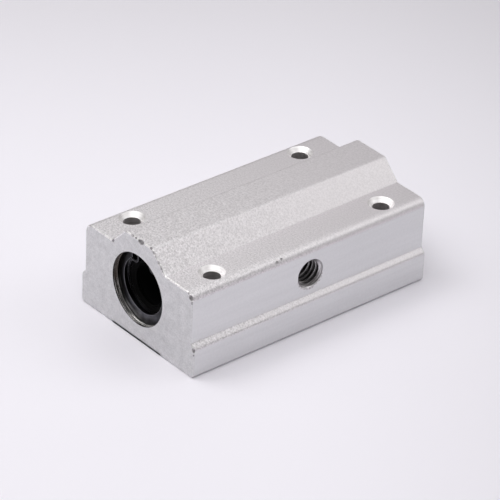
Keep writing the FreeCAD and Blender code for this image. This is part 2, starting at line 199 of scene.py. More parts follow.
# %% Rubbed edges
rubbed, tree, shader, place = new_finish("rubbed_aluminium_edge", 1.0, 0.38)
grit = add(tree, "ShaderNodeTexNoise", {
    "Vector": place, "Scale": 1 / (0.5 * MM), "Detail": 2.0, "Roughness": 0.7})
spread = add(tree, "ShaderNodeMapRange", {"Value": grit.outputs["Fac"], "From Min": 0.35, "From Max": 0.55})
tone = add(tree, "ShaderNodeMix", {
    "Factor": spread.outputs["Result"], "A": colour("#D2CFD0"), "B": colour("#FFFDFD")}, data_type="RGBA")
tree.links.new(tone.outputs["Result"], shader.inputs["Base Color"])
dents = add(tree, "ShaderNodeBump", {
    "Height": grit.outputs["Fac"], "Strength": 0.4, "Distance": 0.03 * MM})
tree.links.new(dents.outputs["Normal"], shader.inputs["Normal"])
print("Specks drawn at 0.5 mm in", rubbed.name)

# %% [markdown]
# Bored, drilled and tapped surfaces are cut after blasting and stay bare. A cutting edge leaves fine
# rings round the tool's axis. A noise that is squeezed along the axis and long across it draws them.
# Each row below is one such surface: its axis, its roughness and its two tones. A reamed bore is shiny,
# and its upper wall is painted dark brown, as painted shade where the wall faces down; a countersink is
# satin and nearly white; deep holes stay dull, and the port's thread has a dark tone that is painted shade.

# %% Turned, drilled, countersunk and tapped surfaces
CUTS = {  # axis, roughness, dark tone, light tone, ring depth in millimetres
    "bored": ("Y", 0.24, "#2E2926", "#E9E7E5", 0.02),
    "drilled": ("Z", 0.6, "#B7B3B4", "#CAC6C7", 0.005),
    "countersunk": ("Z", 0.5, "#EBE8E8", "#FFFDFD", 0.002),
    # The tapped thread's dark tone is painted shade for the depth of the port.
    "tapped": ("X", 0.3, "#6E6B6C", "#C9C7C8", 0.005),
    "port_mouth": ("X", 0.34, "#B4B2B4", "#DAD8DA", 0.002),
}
UPPER_SHADE_FROM, UPPER_SHADE_TO, UPPER_SHADE_COVER = 7.0, 10.5, 0.9
cut_finishes = {}
for name, (axis, roughness, dark, light, ring_depth) in CUTS.items():
    finish, tree, shader, place = new_finish(f"{name}_aluminium", 1.0, roughness)
    stretch = [1.0 if letter == axis else 0.07 for letter in "XYZ"]
    ring_place = add(tree, "ShaderNodeMapping", {"Vector": place, "Scale": stretch})
    rings = add(tree, "ShaderNodeTexNoise", {
        "Vector": ring_place.outputs["Vector"], "Scale": 1 / (0.2 * MM), "Detail": 2.0, "Roughness": 0.6})
    spread = add(tree, "ShaderNodeMapRange", {
        "Value": rings.outputs["Fac"], "From Min": 0.35, "From Max": 0.65})
    tone = add(tree, "ShaderNodeMix", {
        "Factor": spread.outputs["Result"], "A": colour(dark), "B": colour(light)}, data_type="RGBA")
    top_layer = tone
    if name == "bored":
        # Painted shade: towards the top, the bore wall is painted dark brown by its height.
        upright = add(tree, "ShaderNodeSeparateXYZ", {"Vector": place})
        upper_wall_shade = add(tree, "ShaderNodeMapRange", {
            "Value": upright.outputs["Z"], "From Min": UPPER_SHADE_FROM * MM, "From Max": UPPER_SHADE_TO * MM,
            "To Max": UPPER_SHADE_COVER})
        top_layer = add(tree, "ShaderNodeMix", {
            "Factor": upper_wall_shade.outputs["Result"], "A": tone.outputs["Result"], "B": colour("#4F4740")},
            data_type="RGBA")
    tree.links.new(top_layer.outputs["Result"], shader.inputs["Base Color"])
    ridges = add(tree, "ShaderNodeBump", {
        "Height": rings.outputs["Fac"], "Strength": 0.5, "Distance": ring_depth * MM})
    tree.links.new(ridges.outputs["Normal"], shader.inputs["Normal"])
    cut_finishes[name] = finish
print("Cut finishes:", list(cut_finishes))

# %% [markdown]
# A knock in the edge bares the metal. The deep ones are coloured darker than the skin, and the small
# ones a lighter grey than the deep ones.

# %% Nicked edges
NICKS = {"clean": ("#A5A2A3", "#E6E3E5"), "dirty": ("#817E80", "#C6C3C5")}
nicked = {}
for name, (dark, light) in NICKS.items():
    finish, tree, shader, place = new_finish(f"{name}_nick", 1.0, 0.45)
    smear = add(tree, "ShaderNodeTexNoise", {"Vector": place, "Scale": 1 / (0.25 * MM), "Detail": 2.0})
    spread = add(tree, "ShaderNodeMapRange", {
        "Value": smear.outputs["Fac"], "From Min": 0.3, "From Max": 0.7})
    tone = add(tree, "ShaderNodeMix", {
        "Factor": spread.outputs["Result"], "A": colour(dark), "B": colour(light)}, data_type="RGBA")
    tree.links.new(tone.outputs["Result"], shader.inputs["Base Color"])
    nicked[name] = finish
print("Finishes so far:", len(bpy.data.materials))

# %% [markdown]
# ## Small helpers for modelling by hand
# A modeller clicks on edges and faces. A script can't click, so it selects by place: `pick` selects what
# passes a test in edit mode. `rest` puts everything down first, because an operator acts on all that is
# selected, and the CAD nodes are still selected after loading.

# %% Selecting and starting pieces
KINDS = {"verts": "VERT", "edges": "EDGE", "faces": "FACE"}


def rest():
    """Leave edit mode and select nothing."""
    if bpy.context.mode != "OBJECT":
        bpy.ops.object.mode_set(mode="OBJECT")
    bpy.ops.object.select_all(action="DESELECT")


def take(piece, mode="OBJECT"):
    """Select one piece alone and make it the active one."""
    rest()
    piece.select_set(True)
    bpy.context.view_layer.objects.active = piece
    bpy.ops.object.mode_set(mode=mode)


def begin(name):
    """Name the primitive that was just added, put its place in its mesh and go into edit mode."""
    piece = bpy.context.active_object
    piece.name = name
    piece.data.name = name
    bpy.ops.object.transform_apply(location=True, rotation=True, scale=True)
    bpy.ops.object.mode_set(mode="EDIT")
    return piece


def middle(item):
    """The middle of a vertex, edge or face, in millimetres."""
    if isinstance(item, bmesh.types.BMVert):
        return item.co / MM
    if isinstance(item, bmesh.types.BMFace):
        return item.calc_center_median() / MM
    return (item.verts[0].co + item.verts[1].co) / 2 / MM


def pick(kind, test):
    """In edit mode, select only the verts, edges or faces that pass a test."""
    bpy.ops.mesh.select_mode(type=KINDS[kind])
    bpy.ops.mesh.select_all(action="DESELECT")
    mesh = bmesh.from_edit_mesh(bpy.context.edit_object.data)
    mesh.normal_update()
    found = [item for item in getattr(mesh, kind) if test(item)]
    for item in found:
        item.select_set(True)
    mesh.select_flush_mode()
    bmesh.update_edit_mesh(bpy.context.edit_object.data)
    return len(found)


def near(value, target, slack=0.01):
    """Whether two values are the same, give or take a hundredth."""
    return abs(value - target) < slack


print("Helpers ready: rest, take, begin, middle, pick and near")


# %% [markdown]
# ## The bar: a profile pulled along the shaft
# Such blocks are sawn from a long extruded bar, so the profile comes first: a flat section standing at
# the front end. It starts as one plane, is cut by bisects where the shallow relief and the hat begin,
# and grows upwards by extruding edges. Corners are rounded in the flat section, where a vertex bevel
# gives a clean arc. One extrude then pulls it along the whole block.

# %% The flat section
WIDTH, HEIGHT = 34.0, 22.0
FLANGE, LEDGE_TOP, SHOULDER = 6.3, 7.25, 18.0
WALL = 16.0
RELIEF, RELIEF_DEEP = 7.0, 0.16
HAT_FOOT, HAT_TOP = 8.0, 4.0


def cut_at(axis, value):
    """Bisect everything in edit mode with a plane across one axis, at a place in millimetres."""
    normal = [1.0 if letter == axis else 0.0 for letter in "XYZ"]
    bpy.ops.mesh.select_all(action="SELECT")
    bpy.ops.mesh.bisect(plane_co=[value * MM * part for part in normal], plane_no=normal, threshold=1e-6)


rest()
bpy.ops.mesh.primitive_plane_add(
    size=1, location=(0, -BLOCK_END * MM, FLANGE / 2 * MM), rotation=(math.pi / 2, 0, 0))
bpy.context.active_object.scale = (WIDTH * MM, FLANGE * MM, 1)
block = begin("bearing_block")
for across in (-HAT_FOOT, -RELIEF, RELIEF, HAT_FOOT):
    cut_at("X", across)
cut_at("Z", RELIEF_DEEP)
pick("faces", lambda face: middle(face).z < RELIEF_DEEP and abs(middle(face).x) < RELIEF)
bpy.ops.mesh.delete(type="FACE")


def raise_top(level, rise, narrow=1.0, inside=WIDTH):
    """Extrude the section's top edges upwards, and draw them in towards the middle."""
    pick("edges", lambda edge: (
        all(near(v.co.z / MM, level) for v in edge.verts) and abs(middle(edge).x) < inside))
    bpy.ops.mesh.extrude_edges_move(TRANSFORM_OT_translate={"value": (0, 0, rise * MM)})
    bpy.ops.transform.resize(value=(narrow, 1, 1), center_override=(0, -BLOCK_END * MM, 0))


raise_top(FLANGE, LEDGE_TOP - FLANGE, WALL * 2 / WIDTH)
raise_top(LEDGE_TOP, SHOULDER - LEDGE_TOP)
pick("verts", lambda v: near(v.co.z / MM, SHOULDER) and near(abs(v.co.x) / MM, HAT_FOOT * WALL * 2 / WIDTH))
bpy.ops.transform.resize(value=(WIDTH / WALL / 2, 1, 1), center_override=(0, -BLOCK_END * MM, 0))
raise_top(SHOULDER, HEIGHT - SHOULDER, HAT_TOP / HAT_FOOT, HAT_FOOT)
bpy.ops.mesh.select_all(action="SELECT")
bpy.ops.mesh.dissolve_limited(angle_limit=math.radians(1))
print("Corners of the flat section:", len(bmesh.from_edit_mesh(block.data).verts))

# %% [markdown]
# No edge of an extruded bar is sharp, because the die can't be. Each corner is rounded in the flat section
# by a vertex bevel. The bevel is set back from the corner by the radius times the tangent of half the
# angle that the outline turns there, which makes the arc meet both sides smoothly.

# %% Round its corners
CORNERS = [  # x, z, radius, turn of the outline in degrees
    (17.0, 0.0, 0.8, 90),
    (17.0, FLANGE, 0.8, 47),
    (WALL, LEDGE_TOP, 0.3, 47),
    (WALL, SHOULDER, 1.9, 90),
    (HAT_FOOT, SHOULDER, 0.4, 45),
    (HAT_TOP, HEIGHT, 0.8, 45),
    (RELIEF, 0.0, 0.1, 90),
]
for x, z, radius, turn in CORNERS:
    found = pick("verts", lambda v: near(abs(v.co.x) / MM, x) and near(v.co.z / MM, z))
    setback = radius * math.tan(math.radians(turn / 2))
    bpy.ops.mesh.bevel(offset=setback * MM, segments=max(4, round(turn / 9)), affect="VERTICES")
    print(f"corner x ±{x}, z {z}: {found} rounded to {radius} mm")

# %% [markdown]
# The section is pulled along the bar in one extrude. The three skins of the bar are then given to its
# faces by the way they look: up for the blasted top, sideways for the drawn walls, and the ends and the
# mounting face for the milled ones.

# %% Pull the section along the block
SKINS = [blasted, drawn, milled, rubbed]
for finish in SKINS:
    block.data.materials.append(finish)
bpy.ops.mesh.select_mode(type="FACE")
bpy.ops.mesh.select_all(action="SELECT")
bpy.ops.mesh.extrude_region_move(TRANSFORM_OT_translate={"value": (0, 2 * BLOCK_END * MM, 0)})
bpy.ops.mesh.select_all(action="SELECT")
bpy.ops.mesh.normals_make_consistent(inside=False)


def give(finish, test):
    """In edit mode, give the faces that pass a test one of the piece's materials."""
    found = pick("faces", test)
    bpy.context.edit_object.active_material_index = bpy.context.edit_object.data.materials.find(finish.name)
    bpy.ops.object.material_slot_assign()
    print(f"{finish.name}: {found} faces")


give(drawn, lambda face: abs(face.normal.x) > 0.985)
give(milled, lambda face: abs(face.normal.y) > 0.9 or face.normal.z < -0.2)

# %% [markdown]
# A sawn and milled end has a burr, so its edges are broken with a file. A narrow bevel does the same. The
# top ones are rubbed bright by handling, so they get the rubbed finish, and the lower ones stay milled.

# %% Break the end edges
DEBURR, RUBBED_FROM = 0.3, SHOULDER - 0.7
pick("edges", lambda edge: all(near(abs(v.co.y) / MM, BLOCK_END) for v in edge.verts)
     and near(edge.verts[0].co.y, edge.verts[1].co.y, 1e-6))
bpy.ops.mesh.bevel(offset=DEBURR * MM, segments=3, affect="EDGES", clamp_overlap=False,
                   material=SKINS.index(milled))
give(rubbed, lambda face: 0.05 < abs(face.normal.y) < 0.995 and middle(face).z > RUBBED_FROM)
rest()
print("The bar has", len(block.data.polygons), "faces")

# %% [markdown]
# ## Boring, grooving, drilling and tapping
# The machine shop works on the bar with round tools, so each tool is modelled as the solid that it sweeps,
# and a Boolean takes it away. A turned tool starts as a circle. Its rim is extruded along the axis and
# resized, once for each step of its outline, which is what a lathe does to a bar. The Boolean leaves the
# tool's own finish on what it cuts.

# %% Turned solids
AXES = {"X": (0, math.pi / 2, 0), "Y": (-math.pi / 2, 0, 0), "Z": (0, 0, 0)}


def turned(name, axis, centre, outline, finish, sides=96, hollow=False):
    """A round solid along an axis; outline is a list of (place along the axis, radius) in millimetres.

    A hollow one has a closed outline, whose last place is its first again.
    """
    unit = Vector([1.0 if letter == axis else 0.0 for letter in "XYZ"])
    place, radius = outline[0]
    rest()
    bpy.ops.mesh.primitive_circle_add(
        vertices=sides, radius=radius * MM, fill_type="NOTHING" if hollow else "NGON",
        location=(Vector(centre) + unit * place) * MM, rotation=AXES[axis])
    piece = begin(name)
    bpy.ops.mesh.select_all(action="SELECT")
    for new_place, new_radius in outline[1:]:
        step = unit * (new_place - place) * MM
        if hollow:
            bpy.ops.mesh.extrude_edges_move(TRANSFORM_OT_translate={"value": step})
        else:
            bpy.ops.mesh.extrude_region_move(TRANSFORM_OT_translate={"value": step})
        scale = new_radius / radius
        bpy.ops.transform.resize(
            value=[1.0 if letter == axis else scale for letter in "XYZ"],
            center_override=(Vector(centre) + unit * new_place) * MM)
        place, radius = new_place, new_radius
    bpy.ops.mesh.select_all(action="SELECT")
    bpy.ops.mesh.remove_doubles(threshold=1e-6)
    bpy.ops.mesh.normals_make_consistent(inside=False)
    rest()
    piece.data.materials.append(finish)
    return piece


# %% Applying a Boolean
def combine(piece, tool, operation="DIFFERENCE", overlapping=False):
    """Apply a Boolean with a tool, and throw the tool away."""
    take(piece)
    boolean = piece.modifiers.new("cut", "BOOLEAN")
    boolean.object = tool
    boolean.operation = operation
    boolean.solver = "EXACT"
    boolean.material_mode = "TRANSFER"
    boolean.use_self = overlapping
    bpy.ops.object.modifier_apply(modifier=boolean.name)
    bpy.data.objects.remove(tool)
    rest()


print("Helpers ready: turned and combine")

# %% [markdown]
# ## Knocks and nicks
# A bar like this travels loose with others, and its soft edges show it. Each knock is a ball that only
# dips into the edge from outside, so the nick it leaves is wide and shallow. The ball's finish stays in
# the nick. The deep knocks are placed one by one. Two rows of small ones follow: the torn front edge of
# the right slope, and the mouth of the port, where the tap has torn it. They are scattered by a dice with
# a fixed seed, so that every run gives the same nicks.

# %% Where the knocks are
DEEP_KNOCKS = [  # place of the knock, the way it came from, and half its width in millimetres
    ((-1.9, -28.9, 21.95), (0.0, -0.7, 0.7), 0.5),
    ((-0.9, -28.9, 21.95), (0.2, -0.7, 0.7), 0.35),
    ((0.7, -28.9, 21.8), (0.0, -0.85, 0.5), 0.8),
    ((-7.7, -28.95, 18.0), (0.0, -0.9, 0.4), 0.45),
    ((3.6, -28.9, 21.9), (0.3, -0.7, 0.6), 0.4),
    ((14.9, -28.9, 17.9), (0.3, -0.7, 0.6), 0.55),
    ((15.6, -28.85, 17.1), (0.6, -0.7, 0.4), 0.75),
    ((16.0, -28.9, 16.1), (0.7, -0.7, 0.1), 0.45),
    ((16.85, -28.9, 6.2), (0.6, -0.7, 0.3), 0.6),
    ((16.95, -28.95, 5.2), (0.7, -0.7, 0.0), 0.35),
    ((15.7, -8.4, 17.25), (0.8, 0.2, 0.6), 0.45),
    ((15.5, -7.0, 17.4), (0.7, -0.2, 0.7), 0.32),
]
TORN_EDGE, TORN_REACH, TORN_COUNT = (4.5, -29.0, 21.5), 3.4, 16
PORT_HEIGHT, MOUTH_RADIUS, MOUTH_COUNT = 11.8, 3.15, 14
dice = random.Random(8)
small_knocks = []
for step in range(TORN_COUNT):
    share = step / (TORN_COUNT - 1)
    spot = (TORN_EDGE[0] + TORN_REACH * share + dice.uniform(-0.15, 0.15),
            TORN_EDGE[1] + dice.uniform(-0.05, 0.12),
            TORN_EDGE[2] - TORN_REACH * share + dice.uniform(-0.15, 0.15))
    small_knocks.append((spot, (0.4 + dice.uniform(-0.2, 0.2), -0.8, 0.4), dice.uniform(0.22, 0.4)))
for step in range(MOUTH_COUNT):
    angle = math.radians(195 + 11 * step + dice.uniform(-4, 4))
    spot = (WALL, MOUTH_RADIUS * math.cos(angle), PORT_HEIGHT + MOUTH_RADIUS * math.sin(angle))
    small_knocks.append((spot, (1.0, 0.0, 0.0), dice.uniform(0.2, 0.42)))
print(len(DEEP_KNOCKS), "deep knocks and", len(small_knocks), "small ones")

# %% Knock the edges
BALL, BALL_AWAY = 1.5, 1.1  # the ball's radius and how far off its middle is, in half widths of the nick
for kind, knocks in (("dirty", DEEP_KNOCKS), ("clean", small_knocks)):
    for spot, way, half_width in knocks:
        rest()
        middle_of_ball = Vector(spot) + Vector(way).normalized() * half_width * BALL_AWAY
        bpy.ops.mesh.primitive_ico_sphere_add(
            subdivisions=2, radius=BALL * half_width * MM, location=middle_of_ball * MM,
            rotation=(dice.uniform(-1, 1), dice.uniform(-1, 1), 0))
        hammer = begin("hammer")
        rest()
        hammer.data.materials.append(nicked[kind])
        combine(block, hammer)
print("Knocked: the bar has", len(block.data.polygons), "faces")

# %% [markdown]
# The bore is reamed to the size of the bushings, with a groove for a circlip near each end. A land in the
# middle keeps the bushings apart. The tool leaves small ridges in the mouth, which are what the light
# catches. The whole bore is one turned tool, symmetric about the middle of the block.

# %% The stepped bore with its two circlip grooves
AXIS_HEIGHT = 11.0
SEAT, GROOVE, LAND = 7.51, 7.85, 6.5
GROOVE_NEAR, GROOVE_FAR = BLOCK_END - 1.3, BLOCK_END - 2.4
LAND_HALF = 2.6
RIDGES, RIDGE_DEEP = (0.32, 0.6, 0.88, 1.1), 0.06
half_bore = [(BLOCK_END + 0.5, SEAT)]
for ridge in RIDGES:
    half_bore += [
        (BLOCK_END - ridge + 0.1, SEAT),
        (BLOCK_END - ridge, SEAT + RIDGE_DEEP),
        (BLOCK_END - ridge - RIDGE_DEEP, SEAT),
    ]
half_bore += [
    (GROOVE_NEAR, SEAT),
    (GROOVE_NEAR, GROOVE),
    (GROOVE_FAR, GROOVE),
    (GROOVE_FAR, SEAT),
    (LAND_HALF, SEAT),
    (LAND_HALF, LAND),
]
whole_bore = [(-along, radius) for along, radius in half_bore]
whole_bore += list(reversed(half_bore))
combine(block, turned("bore_tool", "Y", (0, 0, AXIS_HEIGHT), whole_bore, cut_finishes["bored"], sides=128))
print("Bored: the block has", len(block.data.polygons), "faces")

# %% [markdown]
# ## Threads
# A tap leaves a spiral groove with 60 degree flanks. The Screw modifier sweeps a small section round
# the axis and along it at once, so one section and a pitch make the whole spiral. It is capped at both
# ends, because a Boolean needs a closed solid. The section is a plane whose outer edge is narrowed.

# %% Sweep a thread


def thread_tool(name, centre, axis, start, length, core, major, pitch, finish, steps=40):
    """The spiral that a tap cuts, from start along an axis for a length."""
    inner = core - 0.12
    root = 0.75 * pitch + 2 * 0.12 * math.tan(math.radians(30))
    rest()
    bpy.ops.mesh.primitive_plane_add(
        size=1, location=((inner + major) / 2 * MM, 0, start * MM), rotation=(math.pi / 2, 0, 0))
    bpy.context.active_object.scale = ((major - inner) * MM, root * MM, 1)
    tool = begin(name)
    pick("edges", lambda edge: near(middle(edge).x, major))
    bpy.ops.transform.resize(value=(1, 1, pitch / 8 / root), center_override=(major * MM, 0, start * MM))
    bpy.ops.mesh.select_mode(type="FACE")
    bpy.ops.mesh.select_all(action="SELECT")
    bpy.ops.mesh.delete(type="ONLY_FACE")
    take(tool)
    spiral = tool.modifiers.new("spiral", "SCREW")
    spiral.axis = "Z"
    spiral.angle = 2 * math.pi
    spiral.screw_offset = pitch * MM
    spiral.iterations = math.ceil(length / pitch)
    spiral.steps = steps
    spiral.render_steps = steps
    bpy.ops.object.modifier_apply(modifier=spiral.name)
    take(tool, "EDIT")
    bpy.ops.mesh.select_all(action="SELECT")
    bpy.ops.mesh.fill_holes(sides=0)
    bpy.ops.mesh.select_all(action="SELECT")
    bpy.ops.mesh.normals_make_consistent(inside=False)
    rest()
    tool.rotation_euler = Euler(AXES[axis])
    tool.location = Vector(centre) * MM
    take(tool)
    bpy.ops.object.transform_apply(location=True, rotation=True, scale=True)
    tool.data.materials.append(finish)
    rest()
    return tool


print("Helper ready: thread_tool")

# %% [markdown]
# Each screw hole is drilled from the shoulder down to the mounting face, opened by a countersink at the
# top and a small one below, and tapped for a 4 mm screw over its lower part. The port in the side is
# drilled into the bore, opened a little and tapped for a 6 mm grease nipple. The cuts come in the order
# of the machine shop: drill, sink, tap.

# %% Four countersunk screw holes, threaded from below
SCREW_X, SCREW_Y = 12.0, BLOCK_END - 8.0
CORE_4, SINK_4, MAJOR_4, PITCH_4 = 1.7, 2.6, 2.0, 0.7
TAP_FROM_4, TAP_LENGTH_4 = -0.6, 8.4
screw_tool = [
    (SHOULDER + 0.4, CORE_4),
    (0.4, CORE_4),
    (-0.4, CORE_4 + 0.8),
]
sink_tool = [
    (SHOULDER + 0.4, SINK_4 + 0.4),
    (SHOULDER - SINK_4 + CORE_4, CORE_4),
]
for across in (-SCREW_X, SCREW_X):
    for along in (-SCREW_Y, SCREW_Y):
        spot = (across, along, 0)
        combine(block, turned("drill", "Z", spot, screw_tool, cut_finishes["drilled"], sides=48))
        combine(block, turned("sink", "Z", spot, sink_tool, cut_finishes["countersunk"], sides=48))
        tap = thread_tool("tap", spot, "Z", TAP_FROM_4, TAP_LENGTH_4, CORE_4, MAJOR_4, PITCH_4,
                          cut_finishes["drilled"], 32)
        combine(block, tap)
print("Four screw holes: the block has", len(block.data.polygons), "faces")

# %% The side port, tapped for a grease nipple
CORE_6, SINK_6, MAJOR_6, PITCH_6 = 2.5, 3.12, 3.05, 1.0
TAP_FROM_6, TAP_LENGTH_6 = 5.6, 11.4
spot = (0, 0, PORT_HEIGHT)
port_tool = [(WALL + 0.4, CORE_6), (WALL - 10.8, CORE_6)]
mouth_tool = [(WALL + 0.4, SINK_6 + 0.4), (WALL - SINK_6 + CORE_6, CORE_6)]
combine(block, turned("port_drill", "X", spot, port_tool, cut_finishes["tapped"], sides=64))
combine(block, turned("port_sink", "X", spot, mouth_tool, cut_finishes["port_mouth"], sides=64))
combine(block, thread_tool("port_tap", spot, "X", TAP_FROM_6, TAP_LENGTH_6, CORE_6, MAJOR_6, PITCH_6,
                           cut_finishes["tapped"]))
print("Drilled and tapped: the block has", len(block.data.polygons), "faces")

# %% [markdown]
# The arcs of the corners and bores are made of many narrow faces, which have to shade as one curve, while
# the big flat faces stay flat. Shading is smooth below 30 degrees, and weighted normals let the biggest
# face at each corner point decide.

# %% Smooth shading that keeps flat faces flat
take(block)
bpy.ops.object.shade_smooth_by_angle(angle=math.radians(30))
flat_faces = block.modifiers.new("flat faces stay flat", "WEIGHTED_NORMAL")
flat_faces.keep_sharp = True
flat_faces.weight = 100
bpy.ops.object.modifier_apply(modifier=flat_faces.name)
rest()
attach(block, "root")
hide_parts("housing")
print("The block's finishes:", [finish.name for finish in block.data.materials])

# %% [markdown]
# ## The circlips
# An internal circlip is stamped from spring steel and blackened in hot salts: a deep, slightly oily black.
# The band is two circles, the inner one set a little towards the gap, so that the ring is widest opposite
# it. Two round ears carry the holes for the pliers. It is built from turned solids in the same way, and
# its stamped edges are then bevelled.

# %% Blackened spring steel
black_steel, tree, shader, place = new_finish("blackened_spring_steel", 1.0, 0.3)
scale_marks = add(tree, "ShaderNodeTexNoise", {"Vector": place, "Scale": 1 / (0.9 * MM), "Detail": 3.0})
# Painted light: the lower part of the ring is painted lighter and grey-blue, in patches of the noise, where
# it catches the light from above.
upright = add(tree, "ShaderNodeSeparateXYZ", {"Vector": place})
lower = add(tree, "ShaderNodeMapRange", {
    "Value": upright.outputs["Z"], "From Min": 8.0 * MM, "From Max": 5.0 * MM, "To Max": 0.75})
painted_light_below = add(tree, "ShaderNodeMath", {
    0: lower.outputs["Result"], 1: scale_marks.outputs["Fac"]}, operation="MULTIPLY")
tone = add(tree, "ShaderNodeMix", {
    "Factor": painted_light_below.outputs["Value"], "A": colour("#1A1A1C"), "B": colour("#808086")},
    data_type="RGBA")
tree.links.new(tone.outputs["Result"], shader.inputs["Base Color"])
marks = add(tree, "ShaderNodeBump", {
    "Height": scale_marks.outputs["Fac"], "Strength": 0.2, "Distance": 0.01 * MM})
tree.links.new(marks.outputs["Normal"], shader.inputs["Normal"])

# %% The lighter-coloured bevelled edge of the black steel
bright_rim, tree, shader, place = new_finish("circlip_edge_steel", 1.0, 0.35)
rim_marks = add(tree, "ShaderNodeTexNoise", {"Vector": place, "Scale": 1 / (0.7 * MM), "Detail": 2.0})
tone = add(tree, "ShaderNodeMix", {
    "Factor": rim_marks.outputs["Fac"], "A": colour("#3A3A3D"), "B": colour("#8A8A8F")}, data_type="RGBA")
tree.links.new(tone.outputs["Result"], shader.inputs["Base Color"])
print("Circlip finishes:", black_steel.name, "and", bright_rim.name)

# %% Build a circlip
RING_NEAR, RING_FAR = 1.35, 2.35
RING_OUTER, RING_INNER, RING_SHIFT = 7.8, 5.75, 0.3
EAR_X, EAR_Z, EAR_RADIUS, EYE, GAP = 2.72, 5.57, 1.3, 0.72, 3.1
low, high = -BLOCK_END + RING_NEAR, -BLOCK_END + RING_FAR
ring = turned("front_circlip_ring", "Y", (0, 0, AXIS_HEIGHT), [(low, RING_OUTER), (high, RING_OUTER)],
              black_steel, 128)
inside = [(low - 1, RING_INNER), (high + 1, RING_INNER)]
combine(ring, turned("inside", "Y", (0, 0, AXIS_HEIGHT + RING_SHIFT), inside, black_steel, 128))
for across in (-EAR_X, EAR_X):
    ear = [(low, EAR_RADIUS), (high, EAR_RADIUS)]
    combine(ring, turned("ear", "Y", (across, 0, AXIS_HEIGHT + EAR_Z), ear, black_steel, 40), "UNION")
rest()
bpy.ops.mesh.primitive_plane_add(
    size=1, location=(0, (low - 1) * MM, (AXIS_HEIGHT + 5) * MM), rotation=(math.pi / 2, 0, 0))
bpy.context.active_object.scale = (GAP * MM, 10 * MM, 1)
slit = begin("gap")
bpy.ops.mesh.select_all(action="SELECT")
bpy.ops.mesh.extrude_region_move(TRANSFORM_OT_translate={"value": (0, 3 * MM, 0)})
bpy.ops.mesh.select_all(action="SELECT")
bpy.ops.mesh.normals_make_consistent(inside=False)
rest()
combine(ring, slit)
for across in (-EAR_X, EAR_X):
    eye = [(low - 1, EYE), (high + 1, EYE)]
    combine(ring, turned("eye", "Y", (across, 0, AXIS_HEIGHT + EAR_Z), eye, black_steel, 32))
print("The circlip before its edges are bevelled:", len(ring.data.polygons), "faces")

# %% Bevel the stamped edges
take(ring, "EDIT")
bpy.ops.mesh.select_mode(type="EDGE")
bpy.ops.mesh.select_all(action="DESELECT")
bpy.ops.mesh.edges_select_sharp(sharpness=math.radians(40))
ring.data.materials.append(bright_rim)
bpy.ops.mesh.bevel(offset=0.11 * MM, segments=2, affect="EDGES", material=len(ring.data.materials) - 1)
take(ring)
bpy.ops.object.shade_smooth_by_angle(angle=math.radians(30))
rest()
print("The circlip:", len(ring.data.polygons), "faces")

# %% [markdown]
# Both ends of the block are alike, so the rear circlip is a copy of the front one with its own mesh,
# turned half round the upright line through the middle of the block.

# %% Copy the circlip to the rear end


def copy_to_rear(piece, name):
    """A copy with its own mesh, turned to the other end of the block."""
    take(piece)
    bpy.ops.object.duplicate(linked=False)
    copy = bpy.context.active_object
    copy.name = name
    copy.data.name = name
    bpy.ops.transform.rotate(value=math.pi, orient_axis="Z", center_override=(0, 0, 0))
    bpy.ops.object.transform_apply(location=True, rotation=True, scale=True)
    rest()
    return copy


rear_ring = copy_to_rear(ring, "rear_circlip_ring")
for piece, node in ((ring, "front_circlip"), (rear_ring, "rear_circlip")):
    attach(piece, "root")
    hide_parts(node)
    places = [corner[1] / MM for corner in piece.bound_box]
    print(piece.name, "lies from y", round(min(places), 2), "to", round(max(places), 2), "mm")

# %% [markdown]
# ## The end seals
# Each bushing is closed by a ring of black nitrile rubber, pressed into the sleeve. Its moulded face is
# dished between a flat rim and a thin lip that wipes the shaft. A closed outline is turned round the
# shaft axis, and a narrow bevel softens what the mould would have rounded.

# %% Black rubber
rubber, tree, shader, place = new_finish("black_nitrile_rubber", 0.0, 0.6)
shader.inputs["IOR"].default_value = 1.52
shader.inputs["Specular IOR Level"].default_value = 0.06
bloom = add(tree, "ShaderNodeTexNoise", {"Vector": place, "Scale": 1 / (0.8 * MM), "Detail": 3.0})
spread = add(tree, "ShaderNodeMapRange", {"Value": bloom.outputs["Fac"], "From Min": 0.3, "From Max": 0.7})
tone = add(tree, "ShaderNodeMix", {
    "Factor": spread.outputs["Result"], "A": colour("#020202"), "B": colour("#060606")}, data_type="RGBA")
tree.links.new(tone.outputs["Result"], shader.inputs["Base Color"])
skin = add(tree, "ShaderNodeBump", {
    "Height": bloom.outputs["Fac"], "Strength": 0.2, "Distance": 0.01 * MM})
tree.links.new(skin.outputs["Normal"], shader.inputs["Normal"])
print("The rubber mirrors only", shader.inputs["Specular IOR Level"].default_value, "of the usual share")

# %% Turn the front outer seal
SEAL_OUTER, LIP = 5.58, 4.06
BUSHING_FACE, SEAL_INSET = 2.4, 0.5
face = -BLOCK_END + BUSHING_FACE + SEAL_INSET
outline = [
    (face, SEAL_OUTER), (face, 5.05), (face + 0.28, 4.72), (face + 0.28, 4.4), (face + 0.02, 4.16),
    (face + 0.12, LIP), (face + 0.5, LIP), (face + 0.9, 4.5), (face + 0.9, SEAL_OUTER), (face, SEAL_OUTER),
]
seal = turned("front_outer_seal_ring", "Y", (0, 0, AXIS_HEIGHT), outline, rubber, sides=96, hollow=True)
take(seal, "EDIT")
bpy.ops.mesh.select_mode(type="EDGE")
bpy.ops.mesh.select_all(action="DESELECT")
bpy.ops.mesh.edges_select_sharp(sharpness=math.radians(25))
bpy.ops.mesh.bevel(offset=0.04 * MM, segments=2, affect="EDGES")
take(seal)
bpy.ops.object.shade_smooth_by_angle(angle=math.radians(40))
rest()
print("The seal:", len(seal.data.polygons), "faces")

